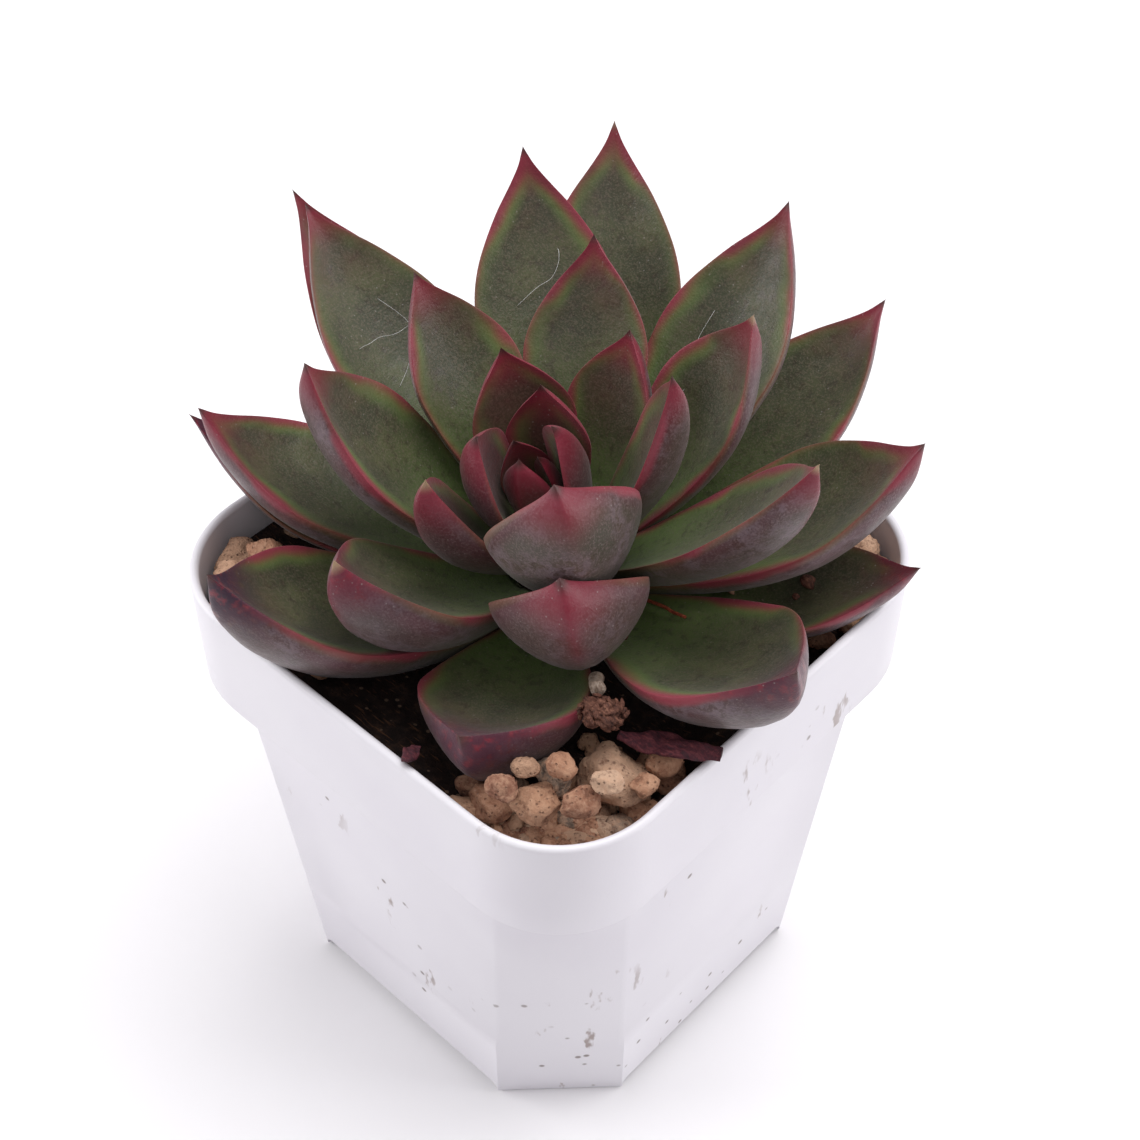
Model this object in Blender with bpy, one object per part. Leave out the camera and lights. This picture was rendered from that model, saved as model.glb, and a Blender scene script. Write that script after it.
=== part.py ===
"""A potted rosette succulent: pointed fleshy leaves on a short stem, rooted in a bed of potting
mix under loose pumice, in a thin-walled square plastic pot.

The pot stands on z = 0 with its flat sides facing X and Y. Lengths are in millimetres here and
are turned into metres where a mesh is made.
"""

import math

import bmesh
import bpy
import numpy as np
from mathutils.bvhtree import BVHTree

MM = 0.001

# Pot
RIM_HALF = 35.0  # half the width across the rim band
POT_HEIGHT = 72.5
RIM_BAND = 16.0  # height of the straight band below the lip
RIM_STEP = 2.4  # how far the band stands out from the body under it
RIM_CORNER = 14.0
LIP_ROUND = 0.5
BASE_HALF = 29.2
BASE_CORNER = 12.0  # leg of the flat that cuts each corner at the base
BODY_ROUNDNESS = 0.55  # 0 is a flat cut corner, 1 a full arc, just under the band
WALL = 1.2
FLOOR = 1.4
FOOT_HEIGHT = 2.0
CORNER_STEPS = 6
MIDDLE_DRAIN_RADIUS = 4.5
SIDE_DRAIN_RADIUS = 3.0
SIDE_DRAIN_OUT = 15.0
DRAIN_SIDES = 16

# Bed of potting mix
FIT_GAP = 0.3  # clearance between pieces that touch
BED_BELOW_RIM = 11.0
BED_EDGE_RISE = 5.0
BED_SHARES = (0.3, 0.55, 0.8, 1.0)  # rings of the bed, from the middle out to its edge

# Stem
STEM_ROOTED = 7.0  # length of stem that stands in the bed
STEM_FOOT_RADIUS = 3.2
STEM_TOP_RADIUS = 0.8
STEM_SIDES = 14

# Rosette: the crown is the point on the stem that the leaves' places are measured from
CROWN_ABOVE_RIM = 7.0
CROWN_X = 2.0
CROWN_Y = -2.5
CROWN_TILT = 14.0  # degrees that the plant leans
CROWN_TILT_TURN = -100.0  # and the direction it leans in
INNER_BASE_RADIUS = 1.2  # distance from the stem's axis to the innermost leaf's base
OUTER_BASE_RADIUS = 5.8
INNER_BASE_HEIGHT = 2.0
BASE_DROP = 15.5  # how far below the innermost leaf the outermost one is attached

# How a leaf's lean and size follow from its place in the order, from the bud outwards
STEEPEST_LEAN = 92.0  # degrees up from the crown's plane, at the bud
FLATTEST_LEAN = 14.0
LEAN_FALL = 0.8
BUD_LENGTH = 12.0
FULL_LENGTH = 46.0
LENGTH_RISE = 0.7
BUD_WIDTH = 4.5
FULL_WIDTH = 18.0
WIDE_FROM = 0.55  # share of the way out from which leaves have their full width
REACH_TURN = 135.0  # side of the rosette on which leaves grow longest
REACH_GAIN = 0.3

# One leaf a row, from the bud outwards: the direction it grows in, then how far it departs from
# the rules above: degrees steeper, and its length and width as shares of the usual ones
LEAVES = (
    (-70, 0, 1.1, 1.1),
    (75, 5, 0.8, 0.8),
    (155, 5, 0.8, 0.7),
    (-145, 5, 1.0, 1.1),
    (65, 10, 0.9, 0.9),
    (115, 0, 0.8, 0.8),
    (-15, 10, 1.4, 1.5),
    (-105, 10, 1.0, 0.9),
    (140, 0, 0.8, 0.9),
    (65, 5, 1.1, 0.8),
    (85, -5, 0.8, 0.8),
    (175, -5, 1.0, 0.9),
    (35, -10, 1.4, 0.9),
    (105, -5, 0.9, 0.9),
    (85, 5, 0.9, 0.9),
    (-105, 10, 1.1, 1.0),
    (-45, 20, 1.1, 1.0),
    (180, 15, 0.9, 0.9),
    (140, 0, 1.0, 1.0),
    (-155, 5, 1.0, 0.9),
    (95, 0, 1.0, 1.0),
    (160, 5, 1.0, 1.0),
    (-80, 5, 1.0, 1.1),
    (5, 5, 1.2, 1.1),
    (-130, 15, 1.0, 1.1),
    (45, 0, 1.0, 1.0),
    (120, 5, 1.0, 1.1),
    (35, -10, 0.9, 0.8),
    (80, 0, 0.9, 1.0),
    (170, 10, 1.0, 0.9),
    (-150, -5, 0.9, 0.7),
)
LEAF_THICKNESS = 0.32  # share of the width
LEAF_CURL = 0.22  # upward sweep of the outer leaves, as a share of the length
LEAF_TWIST = 28.0  # degrees that a middle leaf rolls to turn its face to the light
LIGHT_TURN = 100.0  # direction that the light comes from
SHADE_CURL = 0.5  # how much more a leaf on the shaded side curls up
SHADE_PLUMP = 0.25  # and how much thicker it grows
BASE_WIDTH = 0.30  # share of the full width
BASE_THICKNESS = 0.45  # share of the full thickness
THICKEST_AT = 0.5  # share of the length
BELLY_AT = 0.6  # where a leaf is widest, as a share of its length
CUPPING = 0.28  # rise of the margins over the middle, as a share of the half width
KEEL = 0.25  # how much of the underside is a straight-sided keel
UPPER_SHARE = 0.1  # share of the thickness that lies above the margins' plane
LEAF_RINGS = 10
LEAF_SIDES = 10

# Leaves that press on each other ease apart in small moves until this gap is free
LEAF_GAP = 0.2
EASE_STEP = 0.1
EASE_ROUNDS = 700

# Loose stones on the bed: the corner of the pot that each lies in, how far in from the wall along
# X and Y, its width, and the way it is turned
PEBBLES = (
    ("pebble_large_tan", (1, -1), 7.2, 15.4, 7.2, 35),
    ("pebble_grey", (1, -1), 11.4, 10.4, 4.0, 140),
    ("pebble_long", (1, -1), 9.6, 5.8, 4.6, 120),
    ("pebble_front_left", (1, -1), 15.2, 4.6, 4.0, 20),
    ("pebble_pink", (1, -1), 5.4, 8.4, 4.2, 70),
    ("pebble_pale", (1, -1), 3.6, 10.6, 3.0, 10),
    ("pebble_brown", (1, -1), 12.4, 3.6, 3.0, 0),
    ("pebble_small_a", (1, -1), 12.6, 7.4, 2.6, 60),
    ("pebble_small_b", (1, -1), 9.0, 9.4, 3.2, 100),
    ("pebble_right_a", (1, -1), 3.6, 20.4, 3.6, 30),
    ("pebble_right_b", (1, -1), 2.6, 15.6, 2.6, 80),
    ("pebble_left_corner_a", (-1, -1), 4.4, 9.4, 5.2, 60),
    ("pebble_left_corner_b", (-1, -1), 8.0, 5.6, 4.4, 20),
    ("pebble_left_corner_c", (-1, -1), 9.6, 9.6, 4.2, 0),
    ("pebble_right_corner_a", (1, 1), 8.8, 5.4, 5.2, 15),
    ("pebble_right_corner_b", (1, 1), 9.4, 9.4, 3.8, 50),
    ("pebble_right_corner_c", (1, 1), 4.4, 8.6, 4.2, 90),
    ("pebble_back_a", (-1, 1), 7.4, 7.6, 5.0, 40),
    ("pebble_back_b", (-1, 1), 12.0, 5.2, 4.0, 100),
    ("pebble_back_c", (-1, 1), 5.2, 12.6, 4.2, 130),
)
STONE_COVER = 11.0  # how high the stones in the front corner reach over the middle of the bed
PEBBLE_STRETCH = 1.15  # length as a share of the width
PEBBLE_FLATNESS = 0.82  # height as a share of the width
PEBBLE_DETAIL = 2
PEBBLE_LUMPS = 0.06


def ring_vector(angle):
    return np.array([math.cos(angle), math.sin(angle), 0.0])


# ---------------------------------------------------------------- objects and materials


def clear_scene():
    for obj in list(bpy.data.objects):
        bpy.data.objects.remove(obj, do_unlink=True)


def new_material(name, colour, roughness):
    material = bpy.data.materials.new(name)
    material.use_nodes = True
    shader = material.node_tree.nodes["Principled BSDF"]
    shader.inputs["Base Color"].default_value = (*colour, 1.0)
    shader.inputs["Roughness"].default_value = roughness
    shader.inputs["Metallic"].default_value = 0.0
    material.diffuse_color = (*colour, 1.0)
    return material


def new_object(name, points, faces, material, parent):
    mesh = bpy.data.meshes.new(name)
    mesh.from_pydata([tuple(MM * np.asarray(point)) for point in points], [], faces)
    mesh.materials.append(material)
    mesh.shade_smooth()
    obj = bpy.data.objects.new(name, mesh)
    obj.parent = parent
    bpy.context.scene.collection.objects.link(obj)
    return obj


def loft(rings, tip=None):
    """Points and faces of a closed body whose skin runs through rings, to a cap or a tip."""
    count = len(rings[0])
    points = [point for ring in rings for point in ring]
    faces = [tuple(reversed(range(count)))]
    for level in range(len(rings) - 1):
        near = level * count
        far = near + count
        for step in range(count):
            after = (step + 1) % count
            faces.append((near + step, near + after, far + after, far + step))
    last = (len(rings) - 1) * count
    if tip is None:
        faces.append(tuple(range(last, last + count)))
        return points, faces
    points.append(tip)
    for step in range(count):
        faces.append((last + step, last + (step + 1) % count, len(points) - 1))
    return points, faces


def cut_away(target, cutter):
    cutter.hide_render = True
    cutter.display_type = "WIRE"
    cut = target.modifiers.new("Cut " + cutter.name, "BOOLEAN")
    cut.operation = "DIFFERENCE"
    cut.object = cutter


# ---------------------------------------------------------------- the pot


def square_ring(half, corner, roundness, height):
    """Outline of a square with its corners cut flat (roundness 0) or turned to arcs (1)."""
    points = []
    for quarter in range(4):
        start = quarter * math.pi / 2
        first = corner * ring_vector(start)
        last = corner * ring_vector(start + math.pi / 2)
        middle = (half - corner) / corner * (first + last)
        for step in range(CORNER_STEPS + 1):
            share = step / CORNER_STEPS
            arc = corner * ring_vector(start + share * math.pi / 2)
            flat = first + share * (last - first)
            points.append(middle + flat + roundness * (arc - flat) + (0, 0, height))
    return points


def band_bottom():
    return POT_HEIGHT - RIM_BAND


def body_ring(height, inset=0.0):
    """Outline of the tapering body below the rim band, moved inwards by inset."""
    share = height / band_bottom()
    half = BASE_HALF + share * (RIM_HALF - RIM_STEP - BASE_HALF)
    corner = BASE_CORNER + share * (RIM_CORNER - RIM_STEP - BASE_CORNER)
    return square_ring(half - inset, corner - 0.6 * inset, share * BODY_ROUNDNESS, height)


def band_ring(height, inset=0.0):
    """Outline of the rim band, moved inwards by inset."""
    return square_ring(RIM_HALF - inset, RIM_CORNER - inset, 1.0, height)


def pot_rings():
    outside = [
        body_ring(0.0),
        body_ring(band_bottom() / 2),
        body_ring(band_bottom() - RIM_STEP / 2),
        band_ring(band_bottom()),
        band_ring(POT_HEIGHT - LIP_ROUND),
        band_ring(POT_HEIGHT, LIP_ROUND / 2),
    ]
    inside = [
        band_ring(POT_HEIGHT, WALL - LIP_ROUND / 2),
        band_ring(POT_HEIGHT - LIP_ROUND, WALL),
        band_ring(band_bottom() + WALL, WALL),
        body_ring(band_bottom() - RIM_STEP / 2, WALL),
        body_ring(band_bottom() / 2, WALL),
        body_ring(FOOT_HEIGHT + FLOOR, WALL),
    ]
    return outside + inside


def cut_foot_gaps(pot, material, parent):
    """Lifts the middle of each side off the surface, which leaves four corner feet."""
    beyond = BASE_HALF + WALL
    straight = BASE_HALF - BASE_CORNER
    for name, across, along in (("foot_gap_x", beyond, straight), ("foot_gap_y", straight, beyond)):
        corners = [(across, along), (-across, along), (-across, -along), (across, -along)]
        box = [[(x, y, z) for x, y in corners] for z in (-FOOT_HEIGHT, FOOT_HEIGHT)]
        cut_away(pot, new_object(name, *loft(box), material, parent))


def cut_drains(pot, material, parent):
    spots = [(ring_vector(0.0) * 0.0, MIDDLE_DRAIN_RADIUS)]
    for quarter in range(4):
        spot = SIDE_DRAIN_OUT * ring_vector(math.pi / 4 + quarter * math.pi / 2)
        spots.append((spot, SIDE_DRAIN_RADIUS))
    turns = [2 * math.pi * step / DRAIN_SIDES for step in range(DRAIN_SIDES)]
    for number, (spot, radius) in enumerate(spots):
        rings = []
        for height in (FOOT_HEIGHT - FLOOR, FOOT_HEIGHT + 2 * FLOOR):
            rings.append([spot + radius * ring_vector(turn) + (0, 0, height) for turn in turns])
        cut_away(pot, new_object(f"drain_{number}", *loft(rings), material, parent))


def make_pot(material, parent):
    pot = new_object("pot", *loft(pot_rings()), material, parent)
    cut_foot_gaps(pot, material, parent)
    cut_drains(pot, material, parent)


# ---------------------------------------------------------------- bed and stem


def bed_height():
    """Height of the middle of the bed."""
    return POT_HEIGHT - BED_BELOW_RIM


def bed_edge():
    return band_ring(bed_height() + BED_EDGE_RISE, WALL + FIT_GAP)


def bed_level(share):
    """Height of the bed at a share of the way out from its middle to its edge."""
    return bed_height() + BED_EDGE_RISE * share * share


def bed_top_at(x, y):
    """Height of the bed's surface at a point."""
    edge = np.array(bed_edge())[:, :2]
    after = np.roll(edge, -1, axis=0)
    outwards = np.column_stack([after[:, 1] - edge[:, 1], edge[:, 0] - after[:, 0]])
    share = max(outwards @ (x, y) / (outwards * edge).sum(axis=1))
    return np.interp(share, BED_SHARES, [bed_level(station) for station in BED_SHARES])


def bed_rings():
    clear = WALL + FIT_GAP
    rings = [
        body_ring(FOOT_HEIGHT + FLOOR + FIT_GAP, clear),
        body_ring(band_bottom() / 2, clear),
        body_ring(band_bottom() - RIM_STEP / 2 + FIT_GAP, clear),
        band_ring(band_bottom() + WALL + FIT_GAP, clear),
    ]
    for share in reversed(BED_SHARES):
        rings.append([(share * x, share * y, bed_level(share)) for x, y, _ in bed_edge()])
    return rings


def crown_frame():
    """Origin and axes of the rosette: two across it and one up the stem."""
    tilt = math.radians(CROWN_TILT)
    up = math.sin(tilt) * ring_vector(math.radians(CROWN_TILT_TURN)) + (0, 0, math.cos(tilt))
    across = np.array([1.0, 0.0, 0.0]) - up * up[0]
    across /= np.linalg.norm(across)
    origin = np.array([CROWN_X, CROWN_Y, POT_HEIGHT + CROWN_ABOVE_RIM])
    return origin, across, np.cross(up, across), up


def stem_rings(grow):
    """Rings of the stem, or with grow those of the hole that it stands in."""
    origin, across, along, up = crown_frame()
    ground = (bed_height() - origin[2]) / up[2]
    profile = (
        (ground - STEM_ROOTED - grow, STEM_FOOT_RADIUS),
        (ground + 0.5, STEM_FOOT_RADIUS),
        (ground / 3, STEM_FOOT_RADIUS / 2),
        (0.0, STEM_TOP_RADIUS),
    )
    rings = []
    for height, radius in profile:
        ring = []
        for step in range(STEM_SIDES):
            turn = 2 * math.pi * step / STEM_SIDES
            outwards = math.cos(turn) * across + math.sin(turn) * along
            ring.append(origin + height * up + (radius + grow) * outwards)
        rings.append(ring)
    return rings


def make_bed_and_stem(mix, bark, parent):
    bed = new_object("potting_mix", *loft(bed_rings()), mix, parent)
    cut_away(bed, new_object("stem_hole", *loft(stem_rings(FIT_GAP)), mix, parent))
    new_object("stem", *loft(stem_rings(0.0)), bark, parent)


# ---------------------------------------------------------------- leaves


def leaf_outline(share):
    """Half width at a share of the length: narrow at the stem, widest at the belly, pointed."""
    if share < BELLY_AT:
        return BASE_WIDTH + (1 - BASE_WIDTH) * math.sin(math.pi / 2 * share / BELLY_AT)
    return (1 - ((share - BELLY_AT) / (1 - BELLY_AT)) ** 1.7) ** 1.15


def leaf_depth(share):
    """Thickness at a share of the length."""
    if share < THICKEST_AT:
        grown = math.sin(math.pi / 2 * share / THICKEST_AT)
        return BASE_THICKNESS + (1 - BASE_THICKNESS) * grown
    return (1 - ((share - THICKEST_AT) / (1 - THICKEST_AT)) ** 2.2) ** 0.8


class Leaf:
    """One leaf: where it is attached, which way it points, its size and its shape."""

    def __init__(self, rank, turn, steeper, longer, wider):
        outwards = rank / (len(LEAVES) - 1)
        self.name = f"leaf_{rank + 1:02d}"
        self.turn = math.radians(turn)
        usual_lean = STEEPEST_LEAN - (STEEPEST_LEAN - FLATTEST_LEAN) * outwards**LEAN_FALL
        self.lean = math.radians(usual_lean + steeper)
        reach = REACH_GAIN * min(1.0, 2 * outwards) * math.cos(self.turn - math.radians(REACH_TURN))
        grown = outwards**LENGTH_RISE
        self.length = longer * (1 + reach) * (BUD_LENGTH + (FULL_LENGTH - BUD_LENGTH) * grown)
        grown = math.sin(math.pi / 2 * min(1.0, outwards / WIDE_FROM))
        self.width = wider * (BUD_WIDTH + (FULL_WIDTH - BUD_WIDTH) * grown)
        shade = (1 - math.cos(self.turn - math.radians(LIGHT_TURN))) / 2
        self.curl = LEAF_CURL * min(1.0, 0.4 + outwards) * (1 + SHADE_CURL * shade)
        self.thickness = LEAF_THICKNESS * (1 + SHADE_PLUMP * shade) * self.width
        light = math.sin(self.turn - math.radians(LIGHT_TURN))
        spread = max(math.cos(self.lean), 0.0) ** 0.5
        self.roll = math.radians(LEAF_TWIST) * light * (1 - outwards**3) * spread
        origin, self.across, self.along, self.up = crown_frame()
        height = INNER_BASE_HEIGHT - BASE_DROP * outwards**0.8
        radius = INNER_BASE_RADIUS + (OUTER_BASE_RADIUS - INNER_BASE_RADIUS) * outwards**0.5
        self.base = origin + height * self.up + radius * self.radial()

    def radial(self):
        return math.cos(self.turn) * self.across + math.sin(self.turn) * self.along

    def axes(self):
        """Directions along the leaf, across it and out of its upper face."""
        radial = self.radial()
        forward = math.cos(self.lean) * radial + math.sin(self.lean) * self.up
        face = math.cos(self.lean) * self.up - math.sin(self.lean) * radial
        return forward, np.cross(self.up, radial), face

    def middle(self, share):
        """Point on the line through the middle of the leaf."""
        forward, _, face = self.axes()
        return self.base + self.length * (share * forward - self.curl * (share - share**3) * face)

    def skin(self, grow=0.0):
        """Points and faces of the leaf, or of a copy that is fatter all round by grow."""
        forward, sideways, face = self.axes()
        side = math.cos(self.roll) * sideways + math.sin(self.roll) * face
        angles = np.arange(LEAF_SIDES) * 2 * math.pi / LEAF_SIDES
        out = np.cos(angles)
        above = np.maximum(np.sin(angles), 0.0)
        below = np.maximum(-np.sin(angles), 0.0)
        keeled = (1 - KEEL) * below**0.75 + KEEL * (1 - np.abs(out)) * (below > 0)
        rings = []
        for level in range(LEAF_RINGS):
            share = level / LEAF_RINGS
            normal = np.cross(forward - self.curl * (1 - 3 * share**2) * face, side)
            normal /= np.linalg.norm(normal)
            half = self.width / 2 * leaf_outline(share) + grow
            deep = self.thickness * leaf_depth(share)
            height = (UPPER_SHARE * deep + grow) * above
            height = height - ((1 - UPPER_SHARE) * deep + grow) * keeled
            height = height + CUPPING * half * out**2
            rings.append(self.middle(share) + np.outer(half * out, side) + np.outer(height, normal))
        return loft(rings, self.base + self.length * forward)

    def push(self, contact, direction):
        """Moves the leaf off a touching point: its base gives near the stem, its lean further out."""
        forward, sideways, face = self.axes()
        reach = min(max(np.dot(contact - self.base, forward), 0.0), self.length)
        move = EASE_STEP * direction
        self.base = self.base + (1 - reach / self.length) ** 2 * move
        arm = reach + self.length / 4
        self.lean += np.dot(move, face) / arm
        self.turn += np.dot(move, sideways) / arm / max(abs(math.cos(self.lean)), 0.5)


class Skin:
    """A closed skin that can be tested against others, with the middle of each of its faces."""

    def __init__(self, points, faces):
        points = np.array(points)
        self.tree = BVHTree.FromPolygons(points.tolist(), faces)
        self.middles = np.array([points[list(face)].mean(axis=0) for face in faces])

    def contact(self, other):
        """Middle of the patch where this skin crosses another, or None where they are clear."""
        pairs = self.tree.overlap(other.tree)
        if not pairs:
            return None
        return self.middles[[own for own, _ in pairs]].mean(axis=0)


def separation(first, second, contact):
    """Direction that takes the first leaf off the second one at a touching point."""
    places = []
    for leaf in (first, second):
        along = np.dot(contact - leaf.base, leaf.axes()[0]) / leaf.length
        places.append(leaf.middle(min(max(along, 0.0), 1.0)))
    apart = places[0] - places[1]
    return apart / np.linalg.norm(apart)


def ease_apart(leaves, fixed):
    """Lets leaves that press on each other, or on fixed skins below them, move until all are free."""
    upwards = np.array([0.0, 0.0, 1.0])
    skins = [Skin(*leaf.skin(LEAF_GAP / 2)) for leaf in leaves]
    for _ in range(EASE_ROUNDS):
        moves = []
        for number, leaf in enumerate(leaves):
            for other in range(number):
                contact = skins[number].contact(skins[other])
                if contact is not None:
                    apart = separation(leaf, leaves[other], contact)
                    moves += [(number, contact, apart), (other, contact, -apart)]
            for skin in fixed:
                contact = skins[number].contact(skin)
                if contact is not None:
                    moves.append((number, contact, upwards))
        if not moves:
            return
        for number, contact, direction in moves:
            leaves[number].push(contact, direction)
        for number in {move[0] for move in moves}:
            skins[number] = Skin(*leaves[number].skin(LEAF_GAP / 2))


def make_leaves(material, parent):
    leaves = [Leaf(rank, *row) for rank, row in enumerate(LEAVES)]
    ease_apart(leaves, [Skin(*loft(pot_rings())), Skin(*loft(bed_rings()))])
    for leaf in leaves:
        new_object(leaf.name, *leaf.skin(), material, parent)
    return leaves


# ---------------------------------------------------------------- loose and dry pieces


def stone_mesh(name, size, seed, lumps):
    """A rounded stone about its own middle: a ball pushed in and out by a few slow waves."""
    mesh = bpy.data.meshes.new(name)
    build = bmesh.new()
    bmesh.ops.create_icosphere(build, subdivisions=PEBBLE_DETAIL, radius=1.0)
    for vertex in build.verts:
        x, y, z = vertex.co
        waves = math.sin(3.1 * x + seed) + math.sin(3.7 * y + 2.1 * seed) + math.sin(3.3 * z + 1.3 * seed)
        grow = MM * size / 2 * (1 + lumps * waves)
        vertex.co = (x * grow * PEBBLE_STRETCH, y * grow, z * grow * PEBBLE_FLATNESS)
    build.to_mesh(mesh)
    build.free()
    mesh.shade_smooth()
    return mesh


def make_stone(name, place, size, turn, seed, material, parent, lumps=PEBBLE_LUMPS):
    mesh = stone_mesh(name, size, seed, lumps)
    mesh.materials.append(material)
    stone = bpy.data.objects.new(name, mesh)
    stone.location = tuple(MM * value for value in place)
    stone.rotation_euler = (0.0, 0.0, math.radians(turn))
    stone.parent = parent
    bpy.context.scene.collection.objects.link(stone)


def make_pebbles(materials, parent):
    """Lets each stone down until it lies on the bed or on the stones that are already there."""
    placed = []
    for number, (name, corner, in_x, in_y, width, turn) in enumerate(PEBBLES):
        x = corner[0] * (RIM_HALF - WALL - in_x)
        y = corner[1] * (RIM_HALF - WALL - in_y)
        radius = width / 2 * (PEBBLE_STRETCH + PEBBLE_LUMPS)
        outermost = 1 + 0.7 * radius / math.hypot(x, y)
        height = bed_top_at(outermost * x, outermost * y) + radius * PEBBLE_FLATNESS + FIT_GAP
        for other_x, other_y, other_height, other_radius in placed:
            across = math.hypot(x - other_x, y - other_y)
            reach = radius + other_radius
            if across < reach:
                height = max(height, other_height + PEBBLE_FLATNESS * math.sqrt(reach**2 - across**2))
        placed.append((x, y, height, radius))
        material = materials[number % len(materials)]
        make_stone(name, (x, y, height), width, turn, number, material, parent)


def tube_rings(path, radii, sides, flatness=1.0):
    """Rings round a path, pressed flat to a share of their width by flatness."""
    path = [np.array(point, float) for point in path]
    rings = []
    for number, point in enumerate(path):
        ahead = path[min(number + 1, len(path) - 1)] - path[max(number - 1, 0)]
        ahead /= np.linalg.norm(ahead)
        side = np.cross((0.0, 0.0, 1.0), ahead)
        side /= np.linalg.norm(side)
        over = np.cross(ahead, side)
        ring = []
        for step in range(sides):
            turn = 2 * math.pi * step / sides
            around = math.cos(turn) * side + flatness * math.sin(turn) * over
            ring.append(point + radii[number] * around)
        rings.append(ring)
    return rings


def litter_level():
    """What the plant sheds lies across the rim, or on the stones where they stand higher."""
    return max(POT_HEIGHT, bed_height() + STONE_COVER)


def above_litter(x, y, height):
    return (x, y, litter_level() + height)


def make_dry_pieces(straw, husk, crumb, parent):
    """What the plant has shed: a flower stalk's stub with its dried head, and two dead leaves."""
    stalk = [above_litter(18.4, -12.0, 1.8), above_litter(19.4, -13.2, 2.8), above_litter(20.6, -14.2, 3.8)]
    new_object("flower_stalk_stub", *loft(tube_rings(stalk, (0.9, 0.8, 0.9), 8)), straw, parent)
    make_stone("dried_flower_head", above_litter(23.4, -16.8, 4.2), 5.0, 30, 5, crumb, parent, 0.1)
    shed = [
        above_litter(25.0, -15.4, 0.6),
        above_litter(28.2, -14.2, 0.8),
        above_litter(31.6, -12.8, 1.6),
        above_litter(35.8, -10.8, 2.2),
    ]
    new_object("withered_leaf", *loft(tube_rings(shed, (0.7, 1.3, 1.6, 1.2), 8, 0.4)), husk, parent)
    scrap = [above_litter(8.4, -31.0, -1.6), above_litter(9.8, -32.6, 0.6), above_litter(10.8, -34.4, 1.2)]
    new_object("dried_leaf_scrap", *loft(tube_rings(scrap, (0.5, 0.9, 0.6), 6, 0.4)), husk, parent)


def centre_on_origin(parent):
    """Moves the whole plant sideways so that the middle of its box is over the origin."""
    bpy.context.view_layer.update()
    graph = bpy.context.evaluated_depsgraph_get()
    corners = []
    for obj in parent.children:
        if obj.hide_render:
            continue
        evaluated = obj.evaluated_get(graph)
        corners += [evaluated.matrix_world @ vertex.co for vertex in evaluated.data.vertices]
    corners = np.array(corners)
    middle = (corners.min(axis=0) + corners.max(axis=0)) / 2
    parent.location = (-middle[0], -middle[1], 0.0)


def main():
    clear_scene()
    plant = bpy.data.objects.new("potted_succulent", None)
    bpy.context.scene.collection.objects.link(plant)
    make_pot(new_material("white_plastic", (0.86, 0.85, 0.88), 0.38), plant)
    mix = new_material("potting_mix", (0.11, 0.08, 0.06), 0.95)
    bark = new_material("stem_bark", (0.33, 0.28, 0.18), 0.8)
    make_bed_and_stem(mix, bark, plant)
    make_leaves(new_material("leaf_flesh", (0.16, 0.2, 0.1), 0.45), plant)
    straw = new_material("dry_stalk", (0.62, 0.5, 0.36), 0.85)
    husk = new_material("dry_husk", (0.16, 0.05, 0.07), 0.8)
    crumb = new_material("dry_head", (0.22, 0.1, 0.07), 0.95)
    make_dry_pieces(straw, husk, crumb, plant)
    tan = new_material("pumice_tan", (0.66, 0.47, 0.32), 0.9)
    pale = new_material("pumice_pale", (0.74, 0.63, 0.5), 0.9)
    pink = new_material("pumice_pink", (0.6, 0.38, 0.28), 0.9)
    make_pebbles((tan, pale, pink), plant)
    centre_on_origin(plant)


main()
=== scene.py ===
# %% [markdown]
# # A potted rosette succulent
#
# A pointed, red-edged succulent stands in a square plastic pot filled with dark potting mix and
# loose pumice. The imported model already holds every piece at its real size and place, so this
# script only gives the pieces their fine surface. It works in metres, with +Z up out of the pot.

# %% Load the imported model
import math
import random

import bmesh
import bpy
import numpy as np
from mathutils import Matrix, Vector, noise
from mathutils.bvhtree import BVHTree


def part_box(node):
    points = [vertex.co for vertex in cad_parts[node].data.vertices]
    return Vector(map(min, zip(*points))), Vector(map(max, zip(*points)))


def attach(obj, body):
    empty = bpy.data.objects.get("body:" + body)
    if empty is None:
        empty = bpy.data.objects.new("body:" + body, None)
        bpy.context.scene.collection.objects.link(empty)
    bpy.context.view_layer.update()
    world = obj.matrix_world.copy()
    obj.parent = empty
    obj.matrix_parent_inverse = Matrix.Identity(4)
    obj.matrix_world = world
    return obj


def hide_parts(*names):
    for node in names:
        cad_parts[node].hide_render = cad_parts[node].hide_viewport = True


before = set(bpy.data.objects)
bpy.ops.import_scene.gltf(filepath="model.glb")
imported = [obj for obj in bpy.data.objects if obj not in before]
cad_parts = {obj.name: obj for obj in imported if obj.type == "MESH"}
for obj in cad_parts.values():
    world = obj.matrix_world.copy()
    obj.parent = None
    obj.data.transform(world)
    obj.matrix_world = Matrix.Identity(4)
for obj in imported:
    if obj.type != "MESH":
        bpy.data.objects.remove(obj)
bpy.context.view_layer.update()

MM = 0.001
nodes = sorted(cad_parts)

# %% [markdown]
# ## Reading shapes back from the model
#
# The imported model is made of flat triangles. To give a piece a finer skin in exactly the same
# place, its corners are read once each, without the doubles that flat shading adds.

# %% Corners and triangles of a piece
def corners_of(node):
    """Corners of a piece of the model, each once, and its triangles as numbers of corners."""
    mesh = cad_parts[node].data
    mesh.calc_loop_triangles()
    raw = np.array([vertex.co for vertex in mesh.vertices])
    points, number = np.unique(np.round(raw, 6), axis=0, return_inverse=True)
    triangles = np.array([triangle.vertices for triangle in mesh.loop_triangles])
    return points, number.reshape(-1)[triangles]


def placed(name, data):
    """A mesh, a lamp or a camera put into the scene as an object."""
    thing = bpy.data.objects.new(name, data)
    bpy.context.scene.collection.objects.link(thing)
    return thing


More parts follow.
